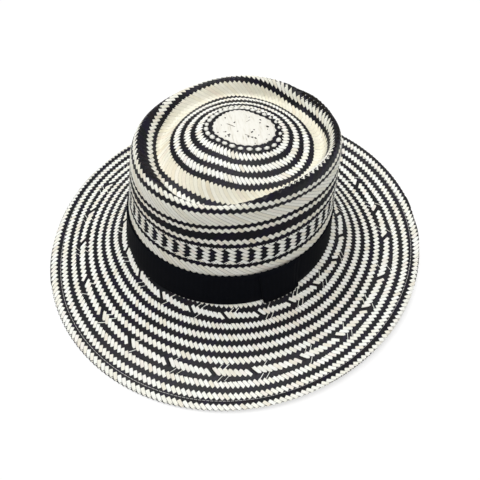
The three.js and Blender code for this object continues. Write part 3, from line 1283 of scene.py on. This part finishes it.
def ribbonCloth():
    s = ribbonShape
    angle = np.linspace(0, 2 * math.pi, s["columns"] + 1)
    up, out = np.array(s["cut"]).T[:, :, None]
    sway = s["sway"] * (np.sin(3 * angle + 0.7) + 0.6 * np.sin(7 * angle))[None, :]
    height = s["low"] + (s["high"] - s["low"]) * up + sway * up * 0.6
    loose = s["loose"] * (1 + np.sin(5 * angle + 1)) * np.sin(math.pi * up)
    outside = s["inside"] + (s["outside"] - s["inside"]) * out + loose
    points = wallPoints(np.broadcast_to(angle, height.shape), height, outside)
    return gridPiece("ribbon_cloth", len(up) - 1, s["columns"], points)


def tabCloth():
    s = tabShape
    # along the cloth: the lower layer to the left, round the fold, and back
    path = [(1.0, 0.0)] + [(share, 0.0) for share in np.linspace(0.9, 0.06, 8)]
    path += [(0.015, 0.08), (0.0, 0.5), (0.015, 0.92)]
    path += [(share, 1.0) for share in np.linspace(0.06, 0.86, 9)] + [(0.93, 0.97)]
    share, layer = np.array(path).T
    width = s["right"] - s["left"]
    far = (s["step"] - s["left"]) / width
    share = np.where(layer == 0, share * far, share)
    up = np.linspace(0, 1, s["rows"])[:, None]
    low = s["low"] - s["upperLower"] * layer
    height = low + (s["high"] - low) * up
    angle = np.radians(s["left"] + width * share + s["lean"] * up * (1 - share))
    belly = s["belly"] * np.sin(math.pi * share) * np.sin(math.pi * up)
    outside = s["inside"] + s["cloth"] * (0.5 + 1.05 * layer) + belly + s["flare"] * (1 - up)
    # its lower edge lies out over the brim
    start, slope = s["brim"]
    outside = np.maximum(outside, start - height * slope)
    points = wallPoints(angle, height, outside)
    piece = gridPiece("bow_cloth", s["rows"] - 1, len(path) - 1, points, closed=False)
    thick = piece.modifiers.new("cloth", "SOLIDIFY")
    thick.thickness, thick.offset = 0.9 * s["cloth"] * mm, 0.0  # a little less than the layers' pitch
    return piece


ribbon = ribbonMaterial("ribbon_cloth", ribbonLook)
finished(ribbonCloth(), ribbon, "ribbon_band")
finished(tabCloth(), ribbon, "bow_tab")
print("pieces ready")

# a round floor whose rim is drawn up as a plain backdrop; in metres
stageLook = dict(floor=(0.35, 0.35, 0.35), glow=0.65, radius=6.0, backdrop=1.1, segments=64)


def stageFloor():
    s = stageLook
    shape = bmesh.new()
    bmesh.ops.create_circle(shape, cap_ends=True, segments=s["segments"], radius=s["radius"])
    rim = [edge for edge in shape.edges if edge.is_boundary]
    raised = bmesh.ops.extrude_edge_only(shape, edges=rim)["geom"]
    raised = [corner for corner in raised if isinstance(corner, bmesh.types.BMVert)]
    bmesh.ops.translate(shape, vec=(0, 0, s["backdrop"]), verts=raised)
    floor = linked("floor", meshFrom("floor", shape))
    glow = {"Emission Color": (1, 1, 1), "Emission Strength": s["glow"]}
    floor.data.materials.append(Material("floor").feed(s["floor"], 0.9, **glow))


def placed(name, data, place, aim):
    # a lamp or camera at a place, aimed at another; in metres
    piece = linked(name, data)
    piece.location = place
    piece.rotation_euler = (aim - piece.location).to_track_quat("-Z", "Y").to_euler()
    return piece


stageFloor()

lights = [
    dict(name="overhead", place=(-0.08, 0.2, 1.9), size=1.5, power=42.5),
    dict(name="fill", place=(0.9, -1.1, 1.2), size=1.2, power=1.0),
]
lightAim = (0, 0, 0.05)
for light in lights:
    data = bpy.data.lights.new(light["name"], "AREA")
    data.size, data.energy = light["size"], light["power"]
    placed(light["name"], data, Vector(light["place"]), Vector(lightAim))

worldLook = dict(colour=(1, 0.94, 0.85, 1), strength=0.08)
world = bpy.data.worlds.new("world")
world.use_nodes = True
sky = world.node_tree.nodes["Background"].inputs
sky["Color"].default_value = worldLook["colour"]
sky["Strength"].default_value = worldLook["strength"]
bpy.context.scene.world = world
bpy.context.scene.view_settings.view_transform = "Standard"

# places are measured from the head oval's middle
cameraView = dict(
    place=(-39.75, -299.38, 394.43),
    aim=(7.49, -18.28, -11.78),
    lens=39.39,
    sensor=36,  # its width
    nearest=0.01,  # in metres
)
middle = Vector((*head["centre"], head["height"]))
place, aim = [(Vector(cameraView[end]) + middle) * mm for end in ("place", "aim")]
data = bpy.data.cameras.new("camera")
data.lens, data.sensor_width = cameraView["lens"], cameraView["sensor"]
data.clip_start = cameraView["nearest"]
bpy.context.scene.camera = placed("camera", data, place, aim)
